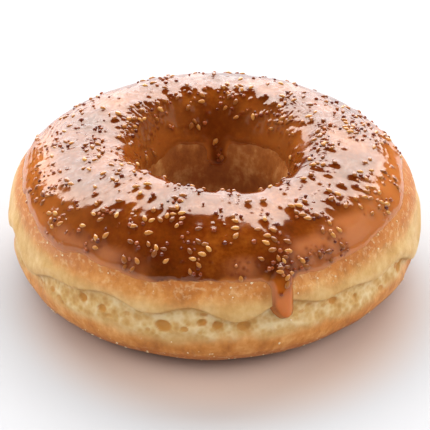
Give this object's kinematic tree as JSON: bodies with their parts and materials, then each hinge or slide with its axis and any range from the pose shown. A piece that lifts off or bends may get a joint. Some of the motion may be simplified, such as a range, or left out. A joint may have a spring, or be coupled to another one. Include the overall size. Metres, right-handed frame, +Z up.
{
  "type": "glazed ring doughnut",
  "caption": "Raised ring doughnut with a round hole, a caramel glaze over its top that drips down the sides, and small seeds and grains stuck to the glaze; prepared food.",
  "frame": {"origin": "middle of the footprint, on the surface the doughnut rests on", "axes": "+Z up through the hole; -Y is the front, where the long drip is a little to the right"},
  "size_m": [0.0958, 0.0952, 0.0349],
  "materials": {
    "dough_ring": "fried dough, golden brown, with a pale porous band round its middle",
    "glaze": "set caramel glaze, smooth and glossy, with golden seeds and dark grains"
  },
  "bodies": {
    "root": {"dough_ring": "dough_ring", "glaze": "glaze"}
  },
  "joints": []
}
